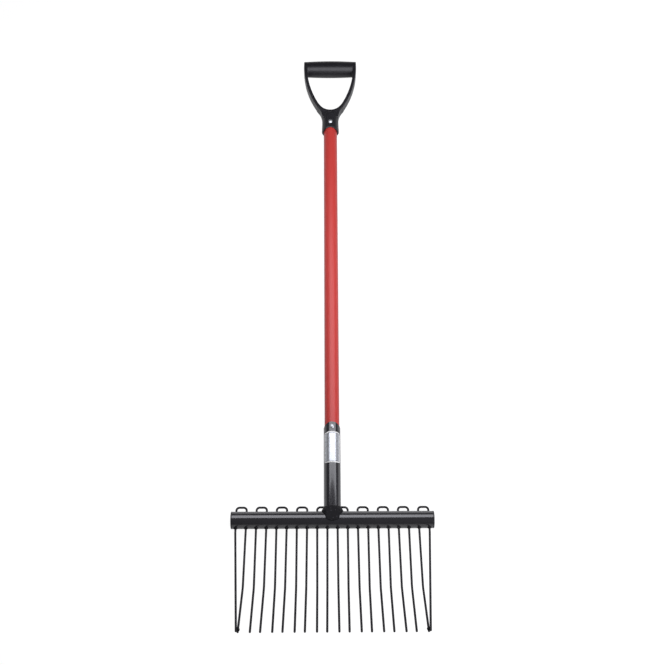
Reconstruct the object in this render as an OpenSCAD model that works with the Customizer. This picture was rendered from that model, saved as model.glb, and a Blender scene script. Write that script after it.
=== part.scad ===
// Long-handled bedding fork with a D-handle, a riveted shaft and a head of wire hairpin tines.
// Lengths are in millimetres and angles in degrees.
// The fork lies on its back: X runs along the head tube, +Y to the handle, +Z to the hollow of the head.

/* [Head tube] */
// Outer diameter of the head tube
bar_d = 32; // [28:0.5:40]
// Wall of the head tube
bar_wall = 2; // [1.2:0.1:4]
// Thickness of each end cap outside the tube
cap_t = 2.5; // [1.5:0.1:6]
// Length of each end cap's plug inside the tube
cap_plug_l = 4; // [2:0.5:4]

/* [Tines] */
// Distance between the middles of neighbouring hairpins
pair_pitch = 37.7; // [32:0.1:50]
// Distance between the two legs of a hairpin at its crown
leg_gap = 19.2; // [15:0.1:24]
// Distance between the two legs of a hairpin at the tips
tip_gap = 17.2; // [12:0.1:24]
// Diameter of the tine wire
wire_d = 4; // [2.5:0.1:5]
// Length of a leg from the head tube's axis to its bend
shank_l = 132; // [90:1:200]
// Slope of a leg above the bend, from the line of the shaft
shank_angle = 14.6; // [0:0.1:25]
// Length of a leg from its bend to its tip
point_l = 115; // [60:1:180]
// Slope of a leg beyond the bend, from the line of the shaft
point_angle = 42.7; // [30:0.1:60]
// Radius of the bend in a leg
bend_r = 20; // [8:1:50]
// Height of a hairpin's crown above the head tube
crown_rise = 10; // [6:0.5:25]
// Radius of a crown's two corners
crown_r = 6; // [4:0.5:7]

/* [Brace legs] */
// Straight run of a brace leg below the head tube
brace_run = 6; // [3:0.5:20]
// Radius of a brace leg's bend
brace_bend_r = 12; // [6:1:30]
// How far a brace leg crosses the tip that it is welded to
brace_cross = 2.7; // [0:0.1:6]
// How far a brace leg runs past that tip
brace_past = 2.5; // [0:0.1:8]
// Gap between the two wires at that tip
weld_gap = 0.15; // [0.1:0.05:0.6]

/* [Shaft] */
// Outer diameter of the shaft
shaft_d = 28.4; // [24:0.2:34]
// Wall of the hollow shaft
shaft_wall = 2.6; // [1.5:0.1:5]
// Length of the shaft, with the ends that are inside socket and collar
shaft_l = 853; // [500:1:1400]
// Gap between the shaft's foot and the crowns inside the socket
shaft_foot_gap = 3.4; // [1:0.1:10]
// How far each core plug runs up or down the shaft past its rivet
plug_past_rivet = 35; // [15:1:100]

/* [Socket] */
// Wall of the socket tube
socket_wall = 1.6; // [1:0.1:4]
// Length of the socket from the head tube's axis to the tip of its tongue
socket_l = 186; // [120:1:240]
// How much the tongue's radius exceeds the socket's
tongue_margin = 1.8; // [0.5:0.1:6]
// Distance of the rivet from the tip of the tongue
socket_rivet_drop = 8.8; // [7:0.1:16]

/* [D-handle] */
// Width over the two arms
handle_w = 115; // [100:1:150]
// Thickness of an arm, seen from the front
arm_t = 7; // [5:0.5:12]
// Depth of an arm, front to back
arm_depth = 25; // [18:0.5:32]
// Bevel along the arms' edges
arm_bevel = 1.6; // [0.5:0.1:2.4]
// Radius of the bottom of the hand opening
throat_r = 27; // [20:0.5:35]
// How far the arc under the hand opening stands proud of the arms that grow out of it
throat_swell = 0.4; // [0.3:0.1:1]
// Height of the hand opening's bottom above the collar's mouth
throat_rise = 53.3; // [50:0.1:80]
// Height of the grip's axis above the collar's mouth
grip_rise = 165; // [140:1:220]
// Diameter of the grip at its middle
grip_d = 36.4; // [30:0.2:42]
// Diameter of the grip at its ends
grip_end_d = 33.6; // [28:0.2:40]
// How much the arms gain in depth up to the grip, on the front and on the back
cheek_swell = 4; // [0.5:0.1:5]
// Wall of the collar round the shaft
collar_wall = 3.2; // [2.5:0.1:6]
// Thickness of the floor between the collar's bore and the hand opening
throat_floor_t = 7.3; // [4:0.1:20]
// Flare of the collar at its mouth
collar_flare = 0.8; // [0:0.1:2]
// Depth of the flats on the front and back of the collar
pad_depth = 1.6; // [0.5:0.1:2.4]
// Depth of the scallops in the front and back of the collar's mouth
scallop_depth = 5.8; // [2:0.1:9]
// Radius of the scallops
scallop_r = 20; // [16:0.5:30]
// Radius of the hollow between collar and arms
neck_fillet_r = 40; // [18:0.5:60]
// Height of the rivet above the collar's mouth
handle_rivet_rise = 21; // [14:0.5:32]

/* [Rivets and welds] */
// Diameter of the rivets' shanks
rivet_d = 5; // [3:0.1:7]
// Diameter of the rivets' heads
rivet_head_d = 9; // [8:0.1:12]
// Height of the rivets' domed heads
rivet_head_h = 1.8; // [1:0.1:4]
// Height of the socket rivet's rim above the round of the socket
rivet_land = 0.2; // [0.1:0.1:1]
// Height of the socket weld on the socket
weld_rise = 9; // [4:0.5:16]
// Reach of the socket weld along the head tube
weld_reach = 5; // [2:0.5:10]
// How far the weld cap stands proud at the front
weld_proud = 1.2; // [0.6:0.1:3]
// How far the weld cap comes down over the head tube's front
weld_drop = 8; // [4:0.5:11]
// Width of the fillet weld round each tine leg
tine_weld_w = 2.2; // [1:0.1:4]
// Height of the fillet weld along each tine leg
tine_weld_h = 2.6; // [1:0.1:6]

/* [Clearances] */
// Gap between shaft and socket, all round
socket_clearance = 0.2; // [0.1:0.05:0.5]
// Gap between shaft and collar bore, all round
collar_clearance = 0.2; // [0.1:0.05:0.5]
// Gap between core plugs and shaft, all round
plug_clearance = 0.1; // [0.05:0.05:0.4]
// Gap between wire and drilled hole, all round
hole_clearance = 0.15; // [0.05:0.05:0.5]
// Gap between rivet shank and hole, all round
rivet_clearance = 0.1; // [0.05:0.05:0.4]
// Gap between cap plug and tube, all round
cap_clearance = 0.1; // [0.05:0.05:0.4]

/* [Hidden] */
// Smoothness of large rounds and of wire
$fn = 96;
wire_fn = 32;
// Length by which a cut runs past the surface that it opens
overrun = 5;

// Shares that set the rounds of caps, cheeks and welds
cap_round_share = 0.45;
cheek_round_share = 0.35;
cheek_lap_share = 0.1;
cheek_inset_share = 0.05;
cheek_drop_share = 0.9;
tip_weld_share = 0.85;
weld_back_share = 0.975;
weld_round_share = 0.6;

// Number of hairpins
pair_count = 10;
// The hairpin that is braced on its outer side, counted from the left, and its mirror image
first_pair = 1;

// Head tube and wire
wire_r = wire_d / 2;
bar_r = bar_d / 2;
bar_id = bar_d - 2 * bar_wall;
head_w = pair_count * pair_pitch;
tube_l = head_w - 2 * cap_t;
cap_edge_r = cap_t * cap_round_share;
cap_plug_r = bar_id / 2 - cap_clearance;
cap_plug_wall = bar_wall;

// Shaft, socket and collar, one inside the other
shaft_id = shaft_d - 2 * shaft_wall;
plug_d = shaft_id - 2 * plug_clearance;
socket_id = shaft_d + 2 * socket_clearance;
socket_r = socket_id / 2 + socket_wall;
collar_id = shaft_d + 2 * collar_clearance;
collar_r = collar_id / 2 + collar_wall;
tongue_r = socket_r + tongue_margin;

// Places along the shaft, measured from the head tube's axis
shaft_y = bar_r + crown_rise + wire_r + shaft_foot_gap;
shaft_top_y = shaft_y + shaft_l;
collar_bore_l = throat_rise - throat_floor_t;
collar_y = shaft_top_y - collar_bore_l;
socket_rivet_y = socket_l - socket_rivet_drop;
handle_rivet_y = collar_y + handle_rivet_rise;
upper_plug_l = shaft_top_y - handle_rivet_y + plug_past_rivet;
lower_plug_l = socket_rivet_y - shaft_y + plug_past_rivet;

// D-handle outline: an arc under the opening runs into an arc up each arm
arm_in_x = handle_w / 2 - arm_t;
throat_y = throat_rise + throat_r;
arm_rise = grip_rise - throat_y;
arm_r = (pow(arm_in_x, 2) + pow(arm_rise, 2) - pow(throat_r, 2)) / (2 * (arm_in_x - throat_r));
arm_sweep = asin(arm_rise / (arm_r - throat_r));
half_turn = 180;
throat_sweep = half_turn - 2 * arm_sweep;
arm_root_sweep = sqrt(throat_r * throat_swell) / arm_r * half_turn / PI;
crotch_y = throat_rise - arm_t / 2;
neck_x = collar_r + neck_fillet_r;
neck_reach = throat_r + arm_t + neck_fillet_r;
neck_y = throat_y - sqrt(pow(neck_reach, 2) - pow(neck_x, 2));
neck_share = (throat_r + arm_t) / neck_reach;
shoulder_y = (neck_y + throat_rise) / 2;
pad_z = collar_r - pad_depth;
grip_r = grip_d / 2;
cheek_edge_r = arm_t * cheek_round_share;
cheek_r = grip_end_d / 2;
cheek_depth = arm_depth + 2 * cheek_swell;
cheek_drop = (grip_rise - throat_y + throat_r * sin(arm_sweep)) * cheek_drop_share;
cheek_lap = arm_t * cheek_lap_share;
cheek_inset = arm_t * cheek_inset_share;
grip_step_count = 12;

// Hairpin lines, in a frame with its zero on the head tube's axis
shank_dir = [0, -cos(shank_angle), sin(shank_angle)];
point_dir = [0, -cos(point_angle), sin(point_angle)];
point_front = [0, sin(point_angle), cos(point_angle)];
crown_at = -shank_dir * (bar_r + crown_rise);
leg_run = bar_r + crown_rise + shank_l + point_l;
bend_share = (bar_r + crown_rise + shank_l) / leg_run;
bend_gap = leg_gap + (tip_gap - leg_gap) * bend_share;
bend_at = shank_dir * shank_l;
tip_at = bend_at + point_dir * point_l;

// A bend is a hair thicker than the runs that end inside it
bend_swell = 0.02;
bend_lap = 0.1;

// Brace legs: from a kink below the head tube to the front of the next tip
brace_kink_at = shank_dir * (bar_r + brace_run + brace_bend_r * sin(shank_angle));
brace_tip_at = tip_at + point_front * (wire_d + weld_gap) + point_dir * brace_past;
brace_tip_x = tip_gap / 2 - brace_cross;
tip_weld_r = wire_d * tip_weld_share;

// The part's own frame: on the floor, in the middle of its length
grip_y = collar_y + grip_rise;
top_y = grip_y + grip_r;
low_y = min(tip_at.y, brace_tip_at.y) - wire_r;
rivet_z = max(socket_r + rivet_land, pad_z) + rivet_head_h;
lying_z = max(grip_r, bar_r, rivet_z);
to_floor = [0, -(top_y + low_y) / 2, lying_z];

function pair_name(i) = str("tine_pair_", i < 10 ? "0" : "", i);
function pair_x(i) = (i - (pair_count + 1) / 2) * pair_pitch;
function unit(v) = v / norm(v);
function spread(x, at) = at + [x, 0, 0];
function slope(from, to) = unit(to - from);

// The points of a hairpin's right leg, from its crown to its tip
function bent_leg() = [
    spread(leg_gap / 2, crown_at),
    spread(bend_gap / 2, bend_at),
    spread(tip_gap / 2, tip_at)
];
// The points of a left leg that runs straight to the right leg's tip
function brace_leg() = [
    spread(-leg_gap / 2, crown_at),
    spread(-leg_gap / 2, brace_kink_at),
    spread(brace_tip_x, brace_tip_at)
];
function mirrored(points) = [for (p = points) [-p.x, p.y, p.z]];
function backwards(points) = [for (i = [len(points) - 1 : -1 : 0]) points[i]];
function is_braced(i) = i == first_pair || i == pair_count;
function left_leg(i) = is_braced(i) ? brace_leg() : mirrored(bent_leg());
function hairpin_points(i) = concat(backwards(left_leg(i)), bent_leg());
function hairpin_radii(i) = [is_braced(i) ? brace_bend_r : bend_r, crown_r, crown_r, bend_r];

// Stands the Z axis of its children along a direction, at a place
module along(from, dir) {
    translate(from)
        rotate([0, acos(dir.z), atan2(dir.y, dir.x)])
            children();
}

// Turns the Z axis of its children to the shaft's line
module on_shaft(y) {
    translate([0, y, 0])
        rotate([-90, 0, 0])
            children();
}

// Turns the Z axis of its children to the head tube's line
module on_bar() {
    rotate([0, 90, 0])
        children();
}

// Puts the outer pair on the left as drawn and on the right as its mirror image
module pair_side(i) {
    translate([pair_x(i), 0, 0])
        mirror([i > pair_count / 2 ? 1 : 0, 0, 0])
            children();
}

// A bend of a wire: an arc that leaves one straight run and enters the next
module wire_bend(corner, dir_in, dir_out, radius) {
    turn = acos(dir_in * dir_out);
    tilt = acos(dir_in.z);
    heading = atan2(dir_in.y, dir_in.x);
    across = [cos(tilt) * cos(heading), cos(tilt) * sin(heading), -sin(tilt)];
    aside = [-sin(heading), cos(heading), 0];
    roll = atan2(dir_out * aside, dir_out * across);
    along(corner - dir_in * radius * tan(turn / 2), dir_in)
        rotate([0, 0, roll])
            translate([radius, 0, 0])
                rotate([90, 0, 0])
                    rotate([0, 0, half_turn - turn])
                        rotate_extrude(angle = turn)
                            translate([radius, 0])
                                circle(d = wire_d, $fn = wire_fn);
}

// A straight run of wire from the zero up its Z axis, with a rounded end where one is asked for
module wire_run(length, rounded) {
    run_r = wire_r - bend_swell;
    if (rounded)
        rotate_extrude($fn = wire_fn)
            union() {
                square([run_r, length]);
                intersection() {
                    translate([0, length])
                        circle(r = run_r, $fn = wire_fn);
                    square([run_r, length + run_r]);
                }
            }
    else
        cylinder(r = run_r, h = length, $fn = wire_fn);
}

// A round wire along straight runs, with an arc of its own radius at every inner point
module bent_wire(points, radii) {
    last = len(points) - 1;
    dirs = [for (i = [1 : last]) slope(points[i - 1], points[i])];
    setbacks = [
        for (i = [0 : last])
            i == 0 || i == last ? 0 : radii[i - 1] * tan(acos(dirs[i - 1] * dirs[i]) / 2) - bend_lap
    ];
    along(points[1] - dirs[0] * setbacks[1], -dirs[0])
        wire_run(norm(points[1] - points[0]) - setbacks[1], true);
    for (i = [2 : last - 1])
        along(points[i - 1] + dirs[i - 1] * setbacks[i - 1], dirs[i - 1])
            wire_run(norm(points[i] - points[i - 1]) - setbacks[i - 1] - setbacks[i], false);
    along(points[last - 1] + dirs[last - 1] * setbacks[last - 1], dirs[last - 1])
        wire_run(norm(points[last] - points[last - 1]) - setbacks[last - 1], true);
    for (i = [1 : last - 1])
        wire_bend(points[i], dirs[i - 1], dirs[i], radii[i - 1]);
}

// Draws its children along both legs of a hairpin, from the crown, in the hairpin's own frame
module on_legs(i) {
    for (leg = [left_leg(i), bent_leg()])
        along(leg[0], slope(leg[0], leg[1]))
            children();
}

// Wire hairpin: a crown behind the head tube and two legs through it
module tine_pair(i) {
    color("#26252a")
        pair_side(i)
            bent_wire(hairpin_points(i), hairpin_radii(i));
}

// Head tube with a hole through both walls for every leg
module head_tube() {
    color("#26252a")
        difference() {
            on_bar()
                cylinder(d = bar_d, h = tube_l, center = true);
            on_bar()
                cylinder(d = bar_id, h = tube_l + overrun, center = true);
            for (i = [1 : pair_count])
                pair_side(i)
                    on_legs(i)
                        cylinder(
                            d = wire_d + 2 * hole_clearance,
                            h = 2 * bar_r + crown_rise + brace_run,
                            $fn = wire_fn
                        );
        }
}

// Press-in plug with a rounded flange, drawn for the right-hand end
module end_cap() {
    color("#222125")
        translate([tube_l / 2, 0, 0])
            on_bar() {
                rotate_extrude()
                    union() {
                        square([bar_r - cap_edge_r, cap_t]);
                        square([bar_r, cap_t - cap_edge_r]);
                        translate([bar_r - cap_edge_r, cap_t - cap_edge_r])
                            circle(r = cap_edge_r, $fn = wire_fn);
                    }
                mirror([0, 0, 1])
                    difference() {
                        cylinder(r = cap_plug_r, h = cap_plug_l);
                        cylinder(r = cap_plug_r - cap_plug_wall, h = cap_plug_l + overrun);
                    }
            }
}

// Fillet weld on the lower side of the head tube, round every leg
module tine_welds() {
    color("#26252a")
        difference() {
            for (i = [1 : pair_count])
                pair_side(i)
                    on_legs(i)
                        translate([0, 0, 2 * bar_r + crown_rise - tine_weld_w])
                            cylinder(
                                r1 = wire_r + 2 * tine_weld_w,
                                r2 = wire_r,
                                h = tine_weld_h + tine_weld_w,
                                $fn = wire_fn
                            );
            on_bar()
                cylinder(d = bar_d, h = head_w, center = true);
            for (i = [1 : pair_count])
                pair_side(i)
                    on_legs(i)
                        cylinder(d = wire_d, h = 2 * (bar_r + crown_rise), $fn = wire_fn);
        }
}

// Weld that holds each brace leg to the tip beside it
module tip_welds() {
    brace = brace_leg();
    brace_dir = slope(brace[2], brace[1]);
    weld_at = tip_at + point_front * (wire_r + weld_gap / 2) - point_dir * tip_weld_r;
    color("#26252a")
        for (i = [first_pair, pair_count])
            pair_side(i)
                difference() {
                    translate(spread(tip_gap / 2, weld_at))
                        sphere(r = tip_weld_r, $fn = wire_fn);
                    along(spread(tip_gap / 2, tip_at), -point_dir)
                        cylinder(d = wire_d, h = 2 * point_l, center = true, $fn = wire_fn);
                    along(brace[2], brace_dir)
                        cylinder(d = wire_d, h = 2 * point_l, center = true, $fn = wire_fn);
                }
}

// Hole for a rivet, front to back, at a place along the shaft
module rivet_hole(y) {
    hole_d = rivet_d + 2 * rivet_clearance;
    translate([0, y, 0])
        cylinder(d = hole_d, h = 2 * (collar_r + overrun), center = true, $fn = wire_fn);
}

// The two domed heads of a rivet, above a seat on each side
module rivet_heads(seat_z, skirt) {
    dome_r = (pow(rivet_head_d / 2, 2) + pow(rivet_head_h, 2)) / (2 * rivet_head_h);
    for (side = [0, 1])
        mirror([0, 0, side])
            translate([0, 0, seat_z])
                rotate_extrude()
                    union() {
                        intersection() {
                            translate([0, rivet_head_h - dome_r])
                                circle(r = dome_r);
                            square([rivet_head_d, rivet_head_h]);
                        }
                        if (skirt > 0)
                            translate([0, -skirt])
                                square([rivet_head_d / 2, skirt]);
                    }
}

// The shank of a rivet, into both of its heads
module rivet_shank(seat_z) {
    cylinder(d = rivet_d, h = 2 * seat_z + rivet_head_h, center = true, $fn = wire_fn);
}

// Hollow shaft with a rivet hole near each end
module shaft() {
    color("#b93d37")
        difference() {
            on_shaft(shaft_y)
                cylinder(d = shaft_d, h = shaft_l);
            on_shaft(shaft_y - overrun)
                cylinder(d = shaft_id, h = shaft_l + 2 * overrun);
            rivet_hole(socket_rivet_y);
            rivet_hole(handle_rivet_y);
        }
}

// Dowel inside an end of the shaft
module core_plug(y, length, rivet_y) {
    color("#c8a878")
        difference() {
            on_shaft(y)
                cylinder(d = plug_d, h = length);
            rivet_hole(rivet_y);
        }
}

// Dowel at the top of the shaft
module upper_core_plug() {
    core_plug(shaft_top_y - upper_plug_l, upper_plug_l, handle_rivet_y);
}

// Dowel at the foot of the shaft
module lower_core_plug() {
    core_plug(shaft_y, lower_plug_l, socket_rivet_y);
}

// Hole along the crowns' line, for the two crowns that go into the socket
module crown_hole() {
    translate(crown_at)
        on_bar()
            cylinder(
                d = wire_d + 2 * hole_clearance,
                h = 2 * (socket_r + weld_reach + overrun),
                center = true,
                $fn = wire_fn
            );
}

// Notch from the socket's foot up to that hole, so that the socket goes over the crowns
module crown_notch() {
    crown_hole();
    translate([-socket_r - overrun, 0, crown_at.z - wire_r])
        cube([2 * (socket_r + overrun), crown_at.y, wire_d]);
}

// Socket tube: saddle cut on the head tube, rounded tongues front and back at its mouth
module socket() {
    color("#26252a")
        difference() {
            intersection() {
                on_shaft(0)
                    cylinder(r = socket_r, h = socket_l);
                linear_extrude(height = 2 * socket_r + overrun, center = true)
                    union() {
                        translate([0, socket_l - tongue_r])
                            circle(r = tongue_r);
                        translate([-tongue_r, 0])
                            square([2 * tongue_r, socket_l - tongue_r]);
                    }
            }
            on_shaft(-overrun)
                cylinder(d = socket_id, h = socket_l + 2 * overrun);
            on_bar()
                cylinder(d = bar_d, h = head_w, center = true);
            crown_notch();
            rivet_hole(socket_rivet_y);
        }
}

// Rivet whose heads are set down onto the round of the socket
module socket_rivet() {
    seat_z = socket_r + rivet_land;
    skirt = seat_z + socket_wall - sqrt(pow(socket_r, 2) - pow(rivet_head_d / 2, 2));
    color("#d9d9dc")
        translate([0, socket_rivet_y, 0]) {
            difference() {
                rivet_heads(seat_z, skirt);
                on_shaft(-rivet_head_d)
                    cylinder(r = socket_r, h = 2 * rivet_head_d);
            }
            rivet_shank(seat_z);
        }
}

// Fillet weld: full in the corners beside the socket, a low cap over the front, dressed flat at the back
module socket_weld() {
    toe_r = socket_r + weld_reach;
    root_r = socket_r - weld_reach;
    round_y = weld_drop * weld_round_share;
    front_z = max(bar_r, socket_r) + weld_proud;
    back_z = min(bar_r, socket_r) * weld_back_share;
    color("#26252a")
        difference() {
            intersection() {
                on_shaft(0)
                    rotate_extrude()
                        polygon([
                            [0, -weld_drop],
                            [root_r, -weld_drop],
                            [socket_r, -round_y],
                            [toe_r, 0],
                            [toe_r, bar_r],
                            [socket_r, bar_r + weld_rise],
                            [0, bar_r + weld_rise]
                        ]);
                union() {
                    translate([-toe_r, 0, -back_z])
                        cube([2 * toe_r, bar_r + weld_rise, back_z + front_z]);
                    translate([-toe_r, -weld_drop, 0])
                        cube([2 * toe_r, weld_drop + weld_rise, front_z]);
                }
            }
            on_bar()
                cylinder(d = bar_d, h = head_w, center = true);
            on_shaft(0)
                cylinder(r = socket_r, h = socket_l);
            crown_hole();
        }
}

// Section of an arm, with its edges bevelled, centred on zero and grown all round
module arm_section(grow) {
    half_t = arm_t / 2 + grow;
    half_d = arm_depth / 2 + grow;
    polygon([
        [half_t, half_d - arm_bevel], [half_t - arm_bevel, half_d],
        [arm_bevel - half_t, half_d], [-half_t, half_d - arm_bevel],
        [-half_t, arm_bevel - half_d], [arm_bevel - half_t, -half_d],
        [half_t - arm_bevel, -half_d], [half_t, arm_bevel - half_d]
    ]);
}

// The arms: a slightly thicker arc under the hand opening and one arc rooted in it up each side
module handle_arms() {
    translate([0, throat_y, 0])
        rotate([0, 0, arm_sweep - half_turn])
            rotate_extrude(angle = throat_sweep)
                translate([throat_r + arm_t / 2, 0])
                    arm_section(throat_swell);
    for (side = [0, 1])
        mirror([side, 0, 0])
            translate([arm_in_x - arm_r, grip_rise, 0])
                rotate([0, 0, -arm_sweep - arm_root_sweep])
                    rotate_extrude(angle = arm_sweep + arm_root_sweep, $fn = 4 * $fn)
                        translate([arm_r + arm_t / 2, 0])
                            arm_section(0);
}

// The web that joins the arms to the collar, hollowed on both sides
module handle_neck() {
    join = [neck_x * neck_share, throat_y - (throat_y - neck_y) * neck_share];
    linear_extrude(height = arm_depth, center = true)
        difference() {
            polygon([
                [-neck_x, neck_y], [neck_x, neck_y],
                join, [0, throat_y], [-join.x, join.y]
            ]);
            for (side = [-1, 1])
                translate([side * neck_x, neck_y])
                    circle(r = neck_fillet_r);
            translate([0, throat_y])
                circle(r = throat_r + arm_t / 2);
        }
}

// The collar's outside: a flared mouth, a round neck with two flats and a sloped shoulder
module handle_collar() {
    intersection() {
        on_shaft(0)
            rotate_extrude()
                polygon([
                    [0, 0],
                    [collar_r + collar_flare - arm_bevel, 0],
                    [collar_r + collar_flare, arm_bevel],
                    [collar_r, handle_rivet_rise],
                    [collar_r, shoulder_y],
                    [arm_depth / 2, crotch_y],
                    [0, crotch_y]
                ]);
        translate([-collar_r - overrun, -overrun, -pad_z])
            cube([2 * (collar_r + overrun), throat_rise + 2 * overrun, 2 * pad_z]);
    }
}

// The barrel of the grip between the cheeks, a little thicker in the middle
module handle_grip() {
    half_l = arm_in_x + cheek_lap;
    bulge = [for (k = [-grip_step_count : 2 : grip_step_count]) k / grip_step_count];
    translate([0, grip_rise, 0])
        on_bar()
            rotate_extrude()
                polygon(concat(
                    [[0, -half_l]],
                    [for (s = bulge) [grip_r - (grip_r - cheek_r) * s * s, s * half_l]],
                    [[0, half_l]]
                ));
}

// Front outline of a cheek, from the grip's line: a hair thinner than the arm, its top corner cut
module cheek_front() {
    out_x = arm_t - cheek_inset;
    translate([arm_in_x, 0])
        polygon([
            [cheek_inset, 0], [out_x, 0],
            [out_x, cheek_r - cheek_edge_r], [out_x - cheek_edge_r, cheek_r],
            [cheek_inset, cheek_r]
        ]);
    intersection() {
        translate([arm_in_x - arm_r, 0])
            difference() {
                circle(r = arm_r + out_x, $fn = 4 * $fn);
                circle(r = arm_r + cheek_inset, $fn = 4 * $fn);
            }
        translate([0, -cheek_drop])
            square([handle_w, cheek_drop]);
    }
}

// Side outline of a cheek, from the grip's line: round over the top, with flats that slope into the arm
module cheek_side() {
    half_d = cheek_depth / 2;
    low_half_d = arm_depth / 2 - arm_bevel;
    intersection() {
        circle(r = cheek_r);
        translate([-cheek_r, -half_d])
            square([2 * cheek_r, cheek_depth]);
    }
    polygon([
        [-cheek_drop, -low_half_d], [-cheek_r, -half_d], [0, -half_d],
        [0, half_d], [-cheek_r, half_d], [-cheek_drop, low_half_d]
    ]);
}

// Flat cheeks that close the grip's ends and slope down along the arms
module handle_cheeks() {
    for (side = [0, 1])
        mirror([side, 0, 0])
            translate([0, grip_rise, 0])
                intersection() {
                    linear_extrude(height = cheek_depth, center = true)
                        cheek_front();
                    rotate([90, 0, 90])
                        linear_extrude(height = handle_w)
                            cheek_side();
                }
}

// Moulded D-handle
module d_handle() {
    color("#2b2a2e")
        translate([0, collar_y, 0])
            difference() {
                union() {
                    handle_arms();
                    handle_neck();
                    handle_collar();
                    handle_grip();
                    handle_cheeks();
                }
                on_shaft(-overrun)
                    cylinder(d = collar_id, h = collar_bore_l + overrun);
                translate([0, scallop_depth - scallop_r, 0])
                    cylinder(r = scallop_r, h = 2 * (collar_r + overrun), center = true);
                rivet_hole(handle_rivet_rise);
            }
}

// Rivet through the flats of the collar
module handle_rivet() {
    color("#d9d9dc")
        translate([0, handle_rivet_y, 0])
            union() {
                rivet_heads(pad_z, 0);
                rivet_shank(pad_z);
            }
}

translate(to_floor) d_handle();
translate(to_floor) handle_rivet();
translate(to_floor) shaft();
translate(to_floor) upper_core_plug();
translate(to_floor) lower_core_plug();
translate(to_floor) socket();
translate(to_floor) socket_rivet();
translate(to_floor) socket_weld();
translate(to_floor) head_tube();
translate(to_floor) mirror([1, 0, 0]) end_cap();  // end_cap_left
translate(to_floor) end_cap();  // end_cap_right
for (i = [1 : pair_count])
    translate(to_floor) tine_pair(i);
translate(to_floor) tine_welds();
translate(to_floor) tip_welds();
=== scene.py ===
"""Bedding fork with a D-handle and a head of wire tines: looks, stage, light and camera."""
from __future__ import annotations

import logging
import math
from dataclasses import dataclass, field
from enum import Enum
from typing import Any, Iterable, Sequence

import bpy
import bmesh
from mathutils import Matrix, Vector

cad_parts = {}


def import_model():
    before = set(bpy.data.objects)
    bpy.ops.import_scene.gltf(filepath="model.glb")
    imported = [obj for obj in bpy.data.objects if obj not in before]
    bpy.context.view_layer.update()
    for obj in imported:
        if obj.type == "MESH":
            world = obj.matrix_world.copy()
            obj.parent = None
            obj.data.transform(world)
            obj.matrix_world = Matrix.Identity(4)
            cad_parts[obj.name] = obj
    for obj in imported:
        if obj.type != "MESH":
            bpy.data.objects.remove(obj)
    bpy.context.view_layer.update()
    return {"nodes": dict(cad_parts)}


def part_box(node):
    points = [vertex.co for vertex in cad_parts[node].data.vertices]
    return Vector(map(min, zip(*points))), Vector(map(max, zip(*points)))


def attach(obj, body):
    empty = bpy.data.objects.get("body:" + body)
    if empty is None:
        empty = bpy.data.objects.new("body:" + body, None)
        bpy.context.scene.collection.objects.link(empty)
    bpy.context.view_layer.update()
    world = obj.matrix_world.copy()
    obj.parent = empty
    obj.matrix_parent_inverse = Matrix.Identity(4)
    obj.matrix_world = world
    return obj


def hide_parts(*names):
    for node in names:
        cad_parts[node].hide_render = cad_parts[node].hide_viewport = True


LOG = logging.getLogger("bedding_fork")
MM = 0.001
BODY = "root"
LABEL_UV = "label"
WHITE = (1.0, 1.0, 1.0, 1.0)
# Socket numbers of a Mix node that mixes colours
MIX_SHARE, MIX_FIRST, MIX_SECOND, MIX_RESULT = 0, 6, 7, 2
# Corners of a copied CAD mesh that are nearer than this are one corner
CORNER_JOIN_MM = 0.002
# Strength of one smoothing pass
SMOOTHING = 0.5


class Slot(Enum):
    """Material slots of the record."""

    PLASTIC = "black_plastic"
    PAINT = "black_paint"
    RIVET = "rivet_steel"


def linear(hex_colour: str) -> tuple[float, float, float, float]:
    """Turns an sRGB hex colour into linear values.

    Args:
        hex_colour: Colour such as "#b93d37".

    Returns:
        Red, green, blue and an alpha of one.
    """
    digits = hex_colour.lstrip("#")
    values = [int(digits[i : i + 2], 16) / 255 for i in (0, 2, 4)]
    red, green, blue = (v / 12.92 if v <= 0.04045 else ((v + 0.055) / 1.055) ** 2.4 for v in values)
    return red, green, blue, 1.0


def add_node(
    tree: bpy.types.NodeTree,
    kind: str,
    inputs: dict[Any, Any] | None = None,
    **settings: Any,
) -> bpy.types.Node:
    """Adds one node with its settings, values and links.

    Args:
        tree: Tree that gets the node.
        kind: Node type's identifier.
        inputs: Value or output socket for each input, by name or number.
        **settings: Attributes of the node.

    Returns:
        The new node.
    """
    node = tree.nodes.new(kind)
    for name, value in settings.items():
        setattr(node, name, value)
    for key, value in (inputs or {}).items():
        if isinstance(value, bpy.types.NodeSocket):
            tree.links.new(value, node.inputs[key])
        else:
            node.inputs[key].default_value = value
    return node


def emptied(owner: bpy.types.Material | bpy.types.World) -> bpy.types.NodeTree:
    """Switches a material's or a world's nodes on and clears them.

    Args:
        owner: Material or world.

    Returns:
        Its empty node tree.
    """
    owner.use_nodes = True
    owner.node_tree.nodes.clear()
    return owner.node_tree


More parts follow.
